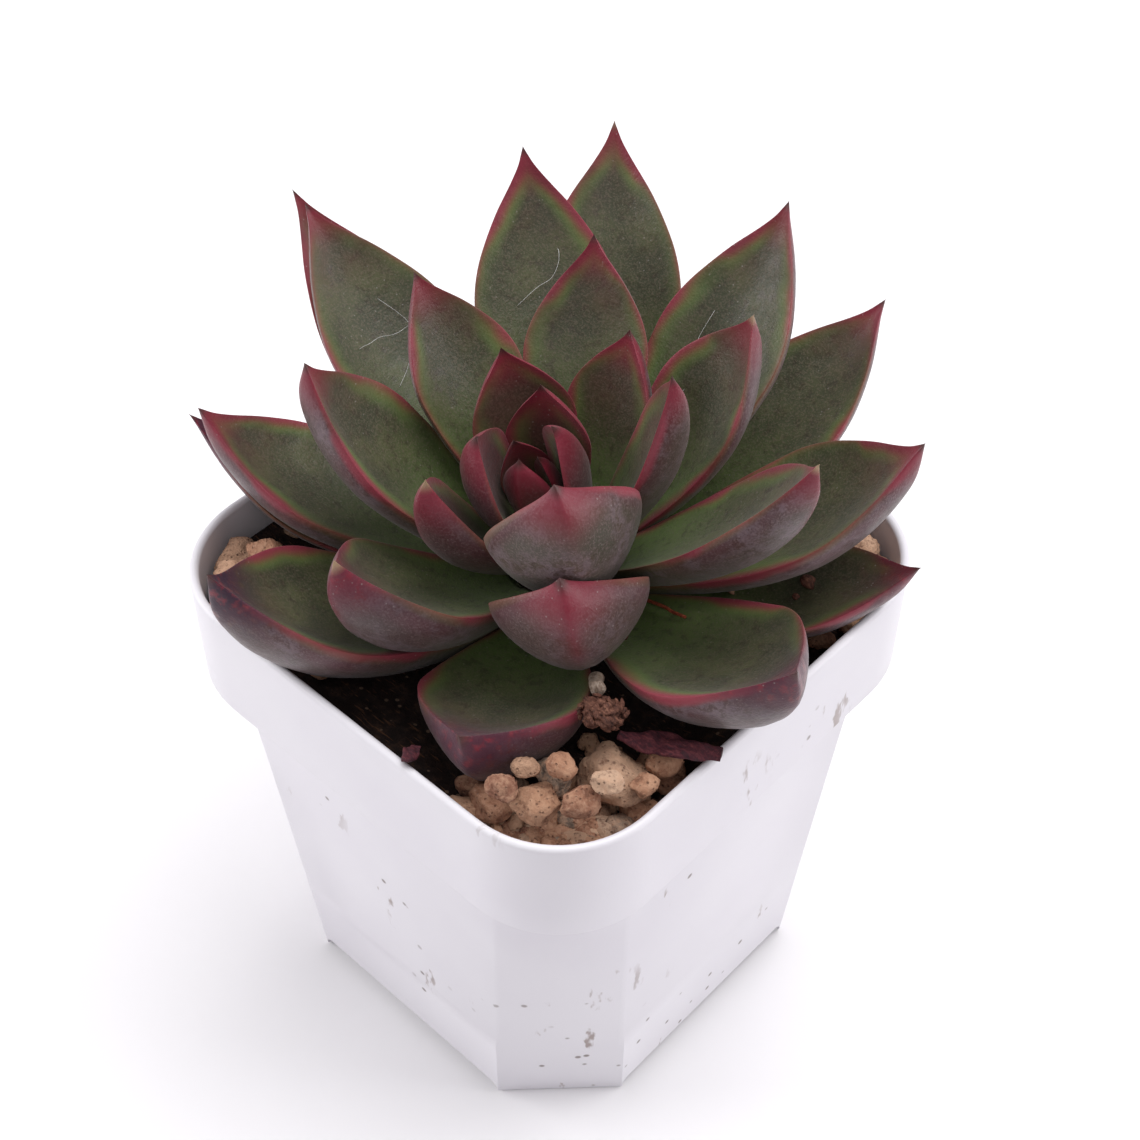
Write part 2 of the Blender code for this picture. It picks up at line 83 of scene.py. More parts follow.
def shaped(name, points, faces):
    """The same for a mesh that is still only points and faces."""
    mesh = bpy.data.meshes.new(name)
    mesh.from_pydata([tuple(point) for point in points], [], faces)
    return placed(name, mesh)


def new_piece(name, points, faces, material, slot, *replaced):
    """A piece that moves with the plant and may stand for model pieces. Its slot is not used."""
    piece = shaped(name, points, faces)
    piece.data.materials.append(material)
    piece.data.shade_smooth()
    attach(piece, "root")
    if replaced:
        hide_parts(*replaced)
    return piece


pot_low, pot_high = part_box("pot")
pot_axis = (pot_low + pot_high) / 2
pot_axis.z = 0.0
print("pot", [round(size / MM, 1) for size in pot_high - pot_low], "mm")

# %% [markdown]
# ## A short way to write materials
#
# Every finish here is a recipe: coordinates go into noise, noise goes through ramps, and the
# result drives colour, roughness and a small bump. This helper writes one node per call, so that
# each recipe below reads from top to bottom.

# %% The recipe helper
class Recipe:
    """A material built step by step. Each method adds one node and returns its output."""

    def __init__(self, name, **constants):
        self.material = bpy.data.materials.new(name)
        self.material.use_nodes = True
        self.nodes = self.material.node_tree.nodes
        self.links = self.material.node_tree.links
        self.shader = self.nodes["Principled BSDF"]
        self.place = self.nodes.new("ShaderNodeTexCoord").outputs["Object"]
        for socket, value in constants.items():
            self.shader.inputs[socket.replace("_", " ")].default_value = value

    def put(self, socket, value):
        """Links an output, or sets a colour, a direction or a number."""
        if isinstance(value, bpy.types.NodeSocket):
            self.links.new(value, socket)
        else:
            socket.default_value = (*value, 1.0) if socket.type == "RGBA" else value

    def drive(self, socket, value):
        self.put(self.shader.inputs[socket], value)

    def add(self, kind, **inputs):
        """A new node with some of its inputs set or linked."""
        node = self.nodes.new("ShaderNode" + kind)
        for socket, value in inputs.items():
            self.put(node.inputs[socket.replace("_", " ")], value)
        return node

    def attribute(self, name):
        node = self.add("Attribute")
        node.attribute_name = name
        return node.outputs["Fac"]

    def noise(self, scale, detail=3.0, roughness=0.55, stretch=None):
        place = self.place
        if stretch:
            place = self.add("Mapping", Vector=place, Scale=stretch).outputs["Vector"]
        node = self.add("TexNoise", Vector=place, Scale=scale, Detail=detail, Roughness=roughness)
        return node.outputs["Fac"]

    def cells(self, scale):
        return self.add("TexVoronoi", Vector=self.place, Scale=scale).outputs["Distance"]

    def ramp(self, value, *stops):
        """Turns a value into a colour through stops, each a place and its colour."""
        node = self.add("ValToRGB", Fac=value)
        elements = node.color_ramp.elements
        while len(elements) < len(stops):
            elements.new(0.5)
        for element, (place, colour) in zip(elements, stops):
            element.position = place
            element.color = (*colour, 1.0)
        return node.outputs["Color"]

    def fit(self, value, low, high, to_low=0.0, to_high=1.0):
        """Stretches a range of a value smoothly to another range."""
        node = self.add("MapRange", Value=value, From_Min=low, From_Max=high, To_Min=to_low, To_Max=to_high)
        node.interpolation_type = "SMOOTHSTEP"
        return node.outputs["Result"]

    def maths(self, operation, first, second):
        node = self.add("Math")
        node.operation = operation
        node.use_clamp = True
        self.put(node.inputs[0], first)
        self.put(node.inputs[1], second)
        return node.outputs["Value"]

    def times(self, first, second):
        return self.maths("MULTIPLY", first, second)

    def mix(self, factor, first, second):
        """Blends from the first colour or value to the second."""
        node = self.add("Mix", Factor=factor)
        node.data_type = "RGBA"
        self.put(node.inputs[6], first)
        self.put(node.inputs[7], second)
        return node.outputs[2]

    def over(self, base, colour, value, *span):
        """Lays a colour over a base as a value passes through a span."""
        return self.mix(self.fit(value, *span), base, colour)

    def bump(self, height, distance, strength, below=None):
        node = self.add("Bump", Height=height, Distance=distance, Strength=strength)
        if below:
            self.links.new(below, node.inputs["Normal"])
        self.drive("Normal", node.outputs["Normal"])
        return node.outputs["Normal"]


print("recipe helper ready")

# %% [markdown]
# ## The skin of a leaf
#
# A living leaf of this plant is thick and waxy. Its upper face is a dark olive that turns bright
# green towards the stem, its margins are red with a yellowish line inside them, and the underside
# is mauve under a pale bloom, with a red keel. Each leaf carries a few numbers at every point,
# such as how far the margin is, and one recipe paints all the leaves from those numbers.

# %% Leaf colours
OLIVE = (0.038, 0.056, 0.026)
MOSS = (0.078, 0.096, 0.038)
LIME = (0.125, 0.190, 0.050)
AMBER = (0.20, 0.085, 0.040)
ROSE = (0.27, 0.034, 0.058)
CRIMSON = (0.20, 0.012, 0.03)
BURGUNDY = (0.075, 0.018, 0.021)
MAUVE = (0.085, 0.026, 0.034)
BLOOM = (0.20, 0.145, 0.175)
BRUISE = (0.035, 0.012, 0.028)
DRIED = (0.40, 0.27, 0.16)


def leaf_material():
    recipe = Recipe("succulent_leaf_skin", Specular_IOR_Level=0.36, Sheen_Weight=0.10, Sheen_Roughness=0.5)
    numbers = ("inland", "from_tip", "along", "under", "keel", "blush")
    inland, tip, along, under, keel, blush = (recipe.attribute(name) for name in numbers)
    clouds = recipe.noise(180.0, 4.0)
    mottle = recipe.noise(900.0, 3.0, 0.6)
    speckle = recipe.noise(3600.0, 2.0, 0.7)

    waver = recipe.noise(75.0, 2.0)
    uneven = recipe.maths("ADD", inland, recipe.fit(waver, 0.36, 0.62, 0.0, 0.30))
    face = recipe.over(OLIVE, MOSS, clouds, 0.35, 0.7)
    face = recipe.over(face, LIME, along, 0.66, 0.10)
    face = recipe.over(face, (0.15, 0.135, 0.095), speckle, 0.48, 0.62, 0.0, 0.42)
    face = recipe.over(face, (0.030, 0.024, 0.018), mottle, 0.50, 0.30, 0.0, 0.45)
    red_face = recipe.over(BURGUNDY, (0.12, 0.035, 0.035), speckle, 0.42, 0.62)
    face = recipe.mix(recipe.times(blush, recipe.fit(along, 0.15, 0.6)), face, red_face)
    shy = recipe.fit(waver, 0.62, 0.40, 0.25, 0.75)
    face = recipe.mix(recipe.times(recipe.fit(uneven, 0.85, 0.34), shy), face, LIME)
    face = recipe.over(face, AMBER, uneven, 0.58, 0.20, 0.0, 0.60)
    face = recipe.over(face, ROSE, uneven, 0.44, 0.08, 0.0, 0.95)
    patchy = recipe.fit(clouds, 0.36, 0.62, 0.15, 0.6)
    flushed = recipe.times(recipe.fit(tip, 0.85, 0.25), patchy)
    face = recipe.mix(flushed, face, BURGUNDY)

    back = recipe.over(MAUVE, (0.062, 0.030, 0.028), clouds, 0.3, 0.7)
    back = recipe.over(back, (0.042, 0.040, 0.026), inland, 0.35, 0.95, 0.0, 0.55)
    back = recipe.over(back, (0.075, 0.088, 0.035), along, 0.62, 0.15)
    back = recipe.mix(recipe.times(blush, 0.75), back, (0.085, 0.022, 0.028))
    inner = recipe.times(recipe.attribute("green_back"), recipe.fit(inland, 0.05, 0.7))
    green = recipe.over((0.050, 0.046, 0.028), (0.075, 0.050, 0.036), clouds, 0.35, 0.65)
    back = recipe.mix(inner, back, green)
    bloom = recipe.times(recipe.fit(clouds, 0.40, 0.66), recipe.fit(mottle, 0.35, 0.6))
    bloom = recipe.times(bloom, recipe.fit(blush, 0.9, 0.2, 0.10, 0.50))
    back = recipe.mix(bloom, back, BLOOM)
    back = recipe.over(back, (0.20, 0.13, 0.13), speckle, 0.50, 0.64, 0.0, 0.38)
    back = recipe.over(back, (0.050, 0.018, 0.022), speckle, 0.46, 0.34, 0.0, 0.40)
    back = recipe.mix(recipe.times(keel, recipe.fit(tip, 0.80, 0.2, 0.0, 0.6)), back, CRIMSON)
    back = recipe.over(back, ROSE, uneven, 0.30, 0.06, 0.0, 0.8)

    colour = recipe.mix(under, face, back)
    colour = recipe.over(colour, CRIMSON, tip, 0.42, 0.08, 0.0, 0.85)
    bruised = recipe.times(recipe.attribute("bruise"), recipe.fit(mottle, 0.28, 0.52))
    colour = recipe.mix(bruised, colour, BRUISE)
    horn = recipe.mix(recipe.attribute("dry"), (0.07, 0.02, 0.02), DRIED)
    colour = recipe.mix(recipe.attribute("horn"), colour, horn)
    dusty = recipe.fit(recipe.noise(95.0), 0.46, 0.62)
    dust = recipe.times(recipe.fit(recipe.cells(1150.0), 0.16, 0.05), dusty)
    colour = recipe.mix(recipe.times(dust, 0.35), colour, (0.42, 0.38, 0.36))
    recipe.drive("Base Color", colour)
    recipe.drive("Roughness", recipe.fit(mottle, 0.3, 0.7, 0.36, 0.50))
    soft = recipe.bump(clouds, 0.0006, 0.5)
    recipe.bump(recipe.mix(0.5, mottle, speckle), 0.00012, 0.6, soft)
    return recipe.material


leaf_skin = leaf_material()
print(len(leaf_skin.node_tree.nodes), "nodes paint a leaf")

# %% [markdown]
# ## Finding a leaf's cross-sections
#
# In the model a leaf is a stack of ten rings of ten corners, closed by a tip. Walking outwards
# from the tip, one step at a time, finds the rings again. That keeps the fine leaf exactly where
# the model has it, without a second list of places.

# %% Rings of a leaf
RING_SIDES = 10
RING_COUNT = 10
OPPOSITE = RING_SIDES // 2  # steps from one margin of a ring to the other
UPPER_PAIR = slice(2, 4)  # the two corners in the middle of the upper face
LOWER_PAIR = slice(7, 9)


def steps_from(start, neighbours):
    """Corners grouped by how many edges they are away from a starting corner."""
    layers = [[start]]
    seen = {start}
    while layers[-1]:
        reached = {near for corner in layers[-1] for near in neighbours[corner]} - seen
        seen |= reached
        layers.append(sorted(reached))
    return layers[:-1]


def in_order(ring, triangles, layer_of):
    """The corners of a ring in the order in which they follow one another."""
    follows = {corner: set() for corner in ring}
    members = set(ring)
    for triangle in triangles:
        own = [corner for corner in triangle if corner in members]
        if len(own) == 2 and len({layer_of[corner] for corner in triangle}) == 2:
            follows[own[0]].add(own[1])
            follows[own[1]].add(own[0])
    path = [ring[0]]
    while len(path) < len(ring):
        path.append(next(corner for corner in sorted(follows[path[-1]]) if corner not in path))
    return path


def best_match(ring, other):
    """The ring turned or reversed so that its corners face those of the ring before it."""
    def shape(points):
        centred = points - points.mean(axis=0)
        return centred / np.linalg.norm(centred, axis=1).mean()

    turns = [np.roll(way, shift, axis=0) for way in (ring, ring[::-1]) for shift in range(RING_SIDES)]
    return min(turns, key=lambda turned: np.linalg.norm(shape(turned) - shape(other)))


def leaf_rings(node):
    """Rings of a leaf from base to tip, each starting at a margin with the upper face first."""
    points, triangles = corners_of(node)
    neighbours = {corner: set() for corner in range(len(points))}
    for triangle in triangles:
        for corner in triangle:
            neighbours[corner] |= set(triangle)
    for corner in range(len(points)):
        layers = steps_from(corner, neighbours)
        if [len(layer) for layer in layers] == [1] + [RING_SIDES] * RING_COUNT:
            break
    layer_of = {member: number for number, layer in enumerate(layers) for member in layer}
    rings = [points[in_order(layer, triangles, layer_of)] for layer in layers[1:]]
    for number in range(1, len(rings)):
        rings[number] = best_match(rings[number], rings[number - 1])
    rings = np.array(rings[::-1])
    belly = rings[RING_COUNT // 2]
    start = max(range(OPPOSITE), key=lambda n: np.linalg.norm(belly[n] - belly[n + OPPOSITE]))
    rings = np.roll(rings, -start, axis=1)
    chord = (rings[:, 0] + rings[:, OPPOSITE]) / 2
    sides = [rings[:, pair].mean(axis=1) - chord for pair in (UPPER_PAIR, LOWER_PAIR)]
    upper, lower = (np.linalg.norm(side, axis=1).sum() for side in sides)
    if upper > lower:
        rings = np.roll(rings, -OPPOSITE, axis=1)
    return rings, points[corner]


sample_rings, sample_tip = leaf_rings("leaf_27")
print("leaf_27 is", round(np.linalg.norm(sample_tip - sample_rings[0].mean(axis=0)) / MM, 1), "mm long")

# %% [markdown]
# ## From ten rings to a living surface
#
# Between the model's rings the leaf is a smooth curve. Its section is a shallow dish above and a
# keeled hull below. Near the end the sides draw in to a tiny horn, the hard point that ends each
# leaf, so rows of points crowd together towards the tip where the form changes fastest.

# %% Fine leaf skin
LEAF_ROWS = 56
LEAF_COLUMNS = 44
CUPPING = 0.28
KEEL_AT_BASE = 0.2
KEEL_AT_TIP = 0.42
KEEL_ROUND = 0.03  # rounds the keel off; 0 would leave a crease
UPPER_SHARE = 0.1
UPPER_LIFT = 0.951 * UPPER_SHARE  # how high the two middle corners of a ring's upper face stand
LOWER_DROP = 0.805  # and how deep the two middle corners of its lower face lie, over the thickness
DRAW_IN = 0.30  # how far the sides draw in before the horn
DRAW_FROM = 0.84  # share of the length at which that starts
DRAW_OVER = 0.12
HORN_RADIUS = 0.26 * MM
HORN_LENGTH = 1.3 * MM
HORN_POINT = 0.12  # radius of its very end, as a share of the horn's
WAVER = 0.07 * MM  # depth of the slow waves in a leaf's skin
WAVER_SCALE = 160
FULLER = {1: 1.25, 3: 1.3, 4: 1.35, 5: 1.25, 6: 1.2}  # times wider that the plump heart is drawn


def smooth_through(values, at):
    """Values at places from 0 to 1 on a curve that passes through evenly spaced ones."""
    values = np.asarray(values, float)
    slopes = np.gradient(values, axis=0)
    spot = np.clip(np.asarray(at) * (len(values) - 1), 0, len(values) - 1 - 1e-9)
    low = spot.astype(int)
    part = (spot - low).reshape((-1,) + (1,) * (values.ndim - 1))
    ahead = values[low + 1]
    bend = part * part * (3 - 2 * part)
    out = part * (1 - part) ** 2 * slopes[low]
    back = part * part * (part - 1) * slopes[low + 1]
    return values[low] * (1 - bend) + ahead * bend + out + back


def unit(vectors):
    return vectors / np.linalg.norm(vectors, axis=-1, keepdims=True)


class LeafShape:
    """The spine, width and thickness of one leaf, measured from its rings in the model."""

    def __init__(self, node):
        rings, tip = leaf_rings(node)
        chord = (rings[:, 0] + rings[:, OPPOSITE]) / 2
        across = rings[:, 0] - rings[:, OPPOSITE]
        depth = rings[:, UPPER_PAIR].mean(axis=1) - rings[:, LOWER_PAIR].mean(axis=1)
        half = np.linalg.norm(across, axis=1) / 2
        self.side = unit(across)
        self.normal = unit(depth)
        self.spine = np.vstack([chord - CUPPING * half[:, None] * self.normal, tip])
        self.half = np.append(half, 0.0) * FULLER.get(int(node[-2:]), 1.0)
        self.thick = np.append(np.linalg.norm(depth, axis=1) / (UPPER_LIFT + LOWER_DROP), 0.0)
        self.side = np.vstack([self.side, self.side[-1]])
        self.normal = np.vstack([self.normal, self.normal[-1]])
        self.length = np.linalg.norm(np.diff(self.spine, axis=0), axis=1).sum()

    def section(self, share):
        """Spine point, side, normal, half width and thickness at shares of the length."""
        spine = smooth_through(self.spine, share)
        side = unit(smooth_through(self.side, share))
        normal = unit(smooth_through(self.normal, share))
        drawn_in = 1 - DRAW_IN * np.clip((share - DRAW_FROM) / DRAW_OVER, 0, 1) ** 2
        half = np.maximum(smooth_through(self.half, share), 0) * drawn_in
        thick = np.maximum(smooth_through(self.thick, share), 0)
        horn = HORN_RADIUS * np.clip((1 - share) * self.length / HORN_LENGTH, HORN_POINT, 1)
        return spine, side, normal, np.maximum(half, horn), np.maximum(thick, 2 * horn)

    def upper_point(self, share, across, lift=0.0):
        """A point on the upper face, from -1 at one margin to 1 at the other."""
        spine, side, normal, half, thick = (part[0] for part in self.section(np.array([share])))
        height = UPPER_SHARE * thick * math.sqrt(max(1 - across**2, 0)) + CUPPING * half * across**2
        return spine + side * half * across + normal * (height + lift)


leaves = {node: LeafShape(node) for node in nodes if node.startswith("leaf_")}
print(len(leaves), "leaves,", round(sum(leaf.length for leaf in leaves.values()), 2), "m laid end to end")

# %% Leaf traits
# Numbers follow the spiral from the bud outwards. The heart of the rosette is burgundy, some old
# tips are bruised, and a few have dried to a tan point.
BLUSH = {1: 1.0, 2: 0.15, 3: 0.85, 4: 0.95, 5: 0.9, 6: 0.6, 7: 0.12, 8: 0.85, 9: 0.5, 10: 0.5}
BLUSH |= {11: 0.35, 17: 0.6}
BLUSH_ELSEWHERE = 0.18
GREEN_BACK = {6: 0.4, 7: 0.9, 10: 0.5, 13: 0.35, 17: 0.35, 19: 0.3}  # undersides that stay olive
RED_KEEL = {7: 0.2, 10: 0.4, 23: 0.3, 24: 0.5}  # leaves whose keel is only faintly red
BRUISED = {16: 0.35, 23: 0.75, 24: 0.7, 25: 1.0, 28: 0.4, 31: 0.8}
DRY_TIP = {8: 0.8, 13: 1.0, 15: 0.7, 16: 0.9, 27: 0.3}
EDGE_REACH = 4.2 * MM  # how far in from the margin the colour still knows about it
TIP_REACH = 16 * MM
BRUISE_REACH = 9 * MM
HORN_TINT = 0.9 * MM
ROW_CROWDING = 1.5  # above 1 the rows of points crowd towards the tip
COLUMN_CROWDING = 0.16  # above 0 the columns crowd towards the margins
KEEL_LINE = 0.16  # half width of the red line on the keel, as a share of the leaf's


def make_leaf(number, leaf):
    """Rows of points of a leaf, with what its colours are worked out from."""
    share = 1 - (1 - np.linspace(0, 1, LEAF_ROWS)) ** ROW_CROWDING
    spine, side, normal, half, thick = leaf.section(share)
    turn = np.arange(LEAF_COLUMNS) * 2 * math.pi / LEAF_COLUMNS
    turn = turn - COLUMN_CROWDING * np.sin(2 * turn)
    out = np.cos(turn)
    above = np.maximum(np.sin(turn), 0)
    below = np.maximum(-np.sin(turn), 0)
    keel = (KEEL_AT_BASE + (KEEL_AT_TIP - KEEL_AT_BASE) * share)[:, None]
    blunt = KEEL_ROUND**0.5
    ridge = 1 - (np.sqrt(out**2 + KEEL_ROUND) - blunt) / ((1 + KEEL_ROUND) ** 0.5 - blunt)
    hull = (1 - keel) * below**0.75 + keel * ridge * (below > 0)
    height = UPPER_SHARE * thick[:, None] * above - (1 - UPPER_SHARE) * thick[:, None] * hull
    height = height + CUPPING * half[:, None] * out**2
    points = spine[:, None] + side[:, None] * (half[:, None] * out)[..., None]
    points = points + normal[:, None] * height[..., None]
    seed = Vector((number * 7.3, number * 3.1, 0.0))
    for row in range(1, LEAF_ROWS - 2):
        for column in range(LEAF_COLUMNS):
            spot = Vector(points[row, column]) * WAVER_SCALE + seed
            points[row, column] += normal[row] * WAVER * noise.noise(spot)
    return share, out, below, half, thick, points


def set_numbers(piece, shape, **numbers):
    """Gives every point of a piece its numbers; shape is how the points are counted."""
    for name, values in numbers.items():
        layer = piece.data.attributes.new(name, "FLOAT", "POINT")
        layer.data.foreach_set("value", np.broadcast_to(values, shape).astype(np.float32).ravel())


def facing_out(points, faces):
    """The faces, turned round if the closed body they make is inside out."""
    flat = np.asarray(points).reshape(-1, 3)
    middle = flat.mean(axis=0)
    volume = 0.0
    for face in faces:
        ring = flat[list(face)] - middle
        for step in range(1, len(face) - 1):
            volume += np.linalg.det([ring[0], ring[step], ring[step + 1]])
    return faces if volume > 0 else [tuple(reversed(face)) for face in faces]


def loft(rings):
    """Points and faces of a closed body through rings of equal length."""
    count = len(rings[0])
    faces = [tuple(reversed(range(count)))]
    for level in range(len(rings) - 1):
        near = level * count
        for side in range(count):
            after = (side + 1) % count
            faces.append((near + side, near + after, near + count + after, near + count + side))
    faces.append(tuple(range((len(rings) - 1) * count, len(rings) * count)))
    points = np.concatenate(rings)
    return points, facing_out(points, faces)


def grow_leaf(node, leaf):
    number = int(node.split("_")[1])
    share, out, below, half, thick, points = make_leaf(number, leaf)
    piece = new_piece("fleshy_" + node, *loft(points), leaf_skin, "leaf_flesh", node)
    inland = half[:, None] * (1 - np.abs(out)) + 0.5 * thick[:, None] * below
    from_tip = (1 - share)[:, None] * leaf.length
    falloff = np.clip(1 - from_tip / BRUISE_REACH, 0, 1)
    set_numbers(
        piece,
        (LEAF_ROWS, LEAF_COLUMNS),
        along=share[:, None],
        inland=np.clip(inland / EDGE_REACH, 0, 1),
        from_tip=np.clip(from_tip / TIP_REACH, 0, 1),
        under=np.clip(below * 5, 0, 1),
        keel=RED_KEEL.get(number, 1.0) * np.exp(-((out / KEEL_LINE) ** 2)) * (below > 0),
        blush=BLUSH.get(number, BLUSH_ELSEWHERE),
        green_back=GREEN_BACK.get(number, 0.0),
        bruise=BRUISED.get(number, 0.0) * np.minimum(1, 1.6 * falloff),
        horn=np.clip(1.5 - from_tip / HORN_TINT, 0, 1),
        dry=DRY_TIP.get(number, 0.0),
    )
    return piece


fleshy = [grow_leaf(node, leaf) for node, leaf in leaves.items()]
print(len(fleshy), "leaves,", sum(len(leaf.data.polygons) for leaf in fleshy), "faces")

# %% [markdown]
# ## The pot
#
# The pot is one thin moulded shell: a straight band under the lip, a soft shoulder, and a body
# that narrows to a base with cut corners. It is drawn as a stack of outlines that run up the
# outside, round the lip and down the inside, so the wall has its real thickness everywhere.

# %% Outlines of the pot
RIM_HALF = (pot_high.x - pot_low.x) / 2 / MM
POT_HEIGHT = pot_high.z / MM
RIM_BAND = 16.0
RIM_STEP = 2.4
RIM_CORNER = 14.0
BASE_HALF = 29.2
BASE_CORNER = 12.0
BODY_ROUNDNESS = 0.55
WALL = 1.2
FOOT_HEIGHT = 2.0
FLOOR = 1.4
CORNER_STEPS = 18
CORNER_INSET = 0.6  # how much smaller a corner of the body gets, for each mm that it moves in
BAND_BOTTOM = POT_HEIGHT - RIM_BAND


def outline(half, corner, roundness):
    """A square with corners cut flat (roundness 0) or rounded to arcs (1), anticlockwise."""
    points = []
    for quarter in range(4):
        turns = [quarter * math.pi / 2, (quarter + 1) * math.pi / 2]
        first, last = (corner * np.array([math.cos(turn), math.sin(turn)]) for turn in turns)
        middle = (half - corner) / corner * (first + last)
        for step in range(CORNER_STEPS + 1):
            share = step / CORNER_STEPS
            turn = turns[0] + share * math.pi / 2
            flat = first + share * (last - first)
            arc = corner * np.array([math.cos(turn), math.sin(turn)])
            points.append(middle + flat + roundness * (arc - flat))
    return np.array(points)


def body_outline(height, inset=0.0):
    share = height / BAND_BOTTOM
    half = BASE_HALF + share * (RIM_HALF - RIM_STEP - BASE_HALF)
    corner = BASE_CORNER + share * (RIM_CORNER - RIM_STEP - BASE_CORNER)
    return outline(half - inset, corner - CORNER_INSET * inset, share * BODY_ROUNDNESS)


def band_outline(inset=0.0):
    return outline(RIM_HALF - inset, RIM_CORNER - inset, 1.0)


def at_height(flat, height):
    """A flat outline lifted to a height, in metres about the pot's axis."""
    return np.column_stack([flat, np.full(len(flat), height)]) * MM + np.array(pot_axis)


def body_ring(height, inset=0.0):
    return at_height(body_outline(height, inset), height)


def band_ring(height, inset=0.0):
    return at_height(band_outline(inset), height)


print("rim", round(2 * RIM_HALF, 1), "mm, height", round(POT_HEIGHT, 1), "mm")

# %% Rings of the pot, from the foot over the lip to the inner floor
FOOT_ROUND = 0.5
FOOT_TURN = (0.12, 0.15)  # how far in and how high the rounding of the foot passes halfway
BAND_MARGIN = 4.0  # height over which the band settles above the shoulder and below the lip
SHOULDER = 2.6  # height over which the body turns out into the band
LIP_STEPS = 8


def pot_profile():
    rings = [body_ring(0, FOOT_ROUND), at_height(body_outline(0, FOOT_TURN[0]), FOOT_TURN[1])]
    rings += [body_ring(height) for height in np.linspace(FOOT_ROUND, BAND_BOTTOM - SHOULDER, 14)]
    for share in np.linspace(0.1, 1, 10):
        height = BAND_BOTTOM - SHOULDER + share * SHOULDER
        swell = (1 - math.cos(math.pi * share)) / 2
        rings.append(at_height((1 - swell) * body_outline(height) + swell * band_outline(), height))
    rings += [band_ring(BAND_BOTTOM + BAND_MARGIN), band_ring(POT_HEIGHT - BAND_MARGIN)]
    rings.append(band_ring(POT_HEIGHT - WALL / 2))
    for turn in np.linspace(0, math.pi, LIP_STEPS + 1)[1:]:
        inset = WALL / 2 * (1 - math.cos(turn))
        rings.append(band_ring(POT_HEIGHT - WALL / 2 * (1 - math.sin(turn)), inset))
    rings.append(band_ring(BAND_BOTTOM + WALL, WALL))
    inner_heights = (BAND_BOTTOM - RIM_STEP / 2, BAND_BOTTOM / 2, FOOT_HEIGHT + FLOOR)
    return rings + [body_ring(height, WALL) for height in inner_heights]


pot_points, pot_faces = loft(pot_profile())
print("pot shell of", len(pot_faces), "faces")

# %% [markdown]
# ## White plastic with a used surface
#
# The plastic is thin and satin. Handling has left a few brown scuffs and specks of soil on it,
# scattered in patches. The scuffs are thin streaks cut out of one noise by another.

# %% Plastic finish
def plastic_material():
    recipe = Recipe("white_satin_plastic", Specular_IOR_Level=0.45)
    clouds = recipe.noise(28.0, 3.0)
    grain = recipe.noise(2600.0, 2.0)
    streaks = recipe.noise(210.0, 4.0, 0.65, (1.0, 1.0, 0.35))
    patches = recipe.noise(42.0, 2.0)
    white = recipe.over((0.72, 0.695, 0.745), (0.77, 0.75, 0.79), clouds, 0.3, 0.7)
    scuffs = recipe.times(recipe.fit(streaks, 0.63, 0.69), recipe.fit(patches, 0.52, 0.62))
    specks = recipe.fit(recipe.cells(300.0), 0.16, 0.08)
    specks = recipe.times(specks, recipe.fit(patches, 0.56, 0.62))
    soiled = recipe.mix(recipe.times(scuffs, 0.75), white, (0.20, 0.12, 0.085))
    soiled = recipe.mix(recipe.times(specks, 0.8), soiled, (0.13, 0.085, 0.065))
    recipe.drive("Base Color", soiled)
    recipe.drive("Roughness", recipe.fit(clouds, 0.3, 0.7, 0.30, 0.42))
    soft = recipe.bump(clouds, 0.0006, 0.25)
    recipe.bump(grain, 0.00003, 0.35, soft)
    return recipe.material


white_plastic = plastic_material()
print(len(white_plastic.node_tree.nodes), "nodes in the plastic")

# %% [markdown]
# ## Feet and drains
#
# The base stands on its four corners, with a low arch along each side, and water leaves through
# round drains. Both are cut from the finished shell, as a mould would core them out.

# %% Cutting the base
MIDDLE_DRAIN = 4.5
SIDE_DRAIN = 3.0
DRAIN_OUT = 15.0 / math.sqrt(2)
DRAIN_SIDES = 40
DRAIN_REACH = (0.6, 6.0)  # from under the floor to well above it
ARCH_REACH = 2  # how far the bars stick out on either side


def cut_with(piece, tools):
    """Cuts tools out of a piece for good, then removes them."""
    for tool in tools:
        modifier = piece.modifiers.new("cut", "BOOLEAN")
        modifier.operation = "DIFFERENCE"
        modifier.solver = "EXACT"
        modifier.object = tool
    graph = bpy.context.evaluated_depsgraph_get()
    finished = bpy.data.meshes.new_from_object(piece.evaluated_get(graph))
    piece.modifiers.clear()
    piece.data = finished
    for tool in tools:
        bpy.data.objects.remove(tool, do_unlink=True)


def arch_tool(turned):
    """A long bar with rounded upper edges, as wide as the flat of a side."""
    half = BASE_HALF - BASE_CORNER
    profile = [(half, -2.0), (half, 0.9), (half - 0.35, 1.6), (half - 1.1, FOOT_HEIGHT)]
    profile += [(-across, height) for across, height in reversed(profile)]
    rings = []
    for end in (-BASE_HALF - ARCH_REACH, BASE_HALF + ARCH_REACH):
        ring = [(end, across, height) if turned else (across, end, height) for across, height in profile]
        rings.append(np.array(ring) * MM + np.array(pot_axis))
    return shaped("arch_tool", *loft(rings))


def drain_tool(x, y, radius):
    turns = np.linspace(0, 2 * math.pi, DRAIN_SIDES, endpoint=False)
    flat = np.column_stack([x + radius * np.cos(turns), y + radius * np.sin(turns)])
    return shaped("drain_tool", *loft([at_height(flat, height) for height in DRAIN_REACH]))


pot_piece = new_piece("thin_plastic_pot", pot_points, pot_faces, white_plastic, "white_plastic", "pot")
tools = [arch_tool(True), arch_tool(False), drain_tool(0, 0, MIDDLE_DRAIN)]
for x in (-DRAIN_OUT, DRAIN_OUT):
    tools += [drain_tool(x, y, SIDE_DRAIN) for y in (-DRAIN_OUT, DRAIN_OUT)]
cut_with(pot_piece, tools)
pot_piece.data.shade_smooth()
pot_piece.data.set_sharp_from_angle(angle=math.radians(38))
print("pot has", len(pot_piece.data.polygons), "faces after cutting")

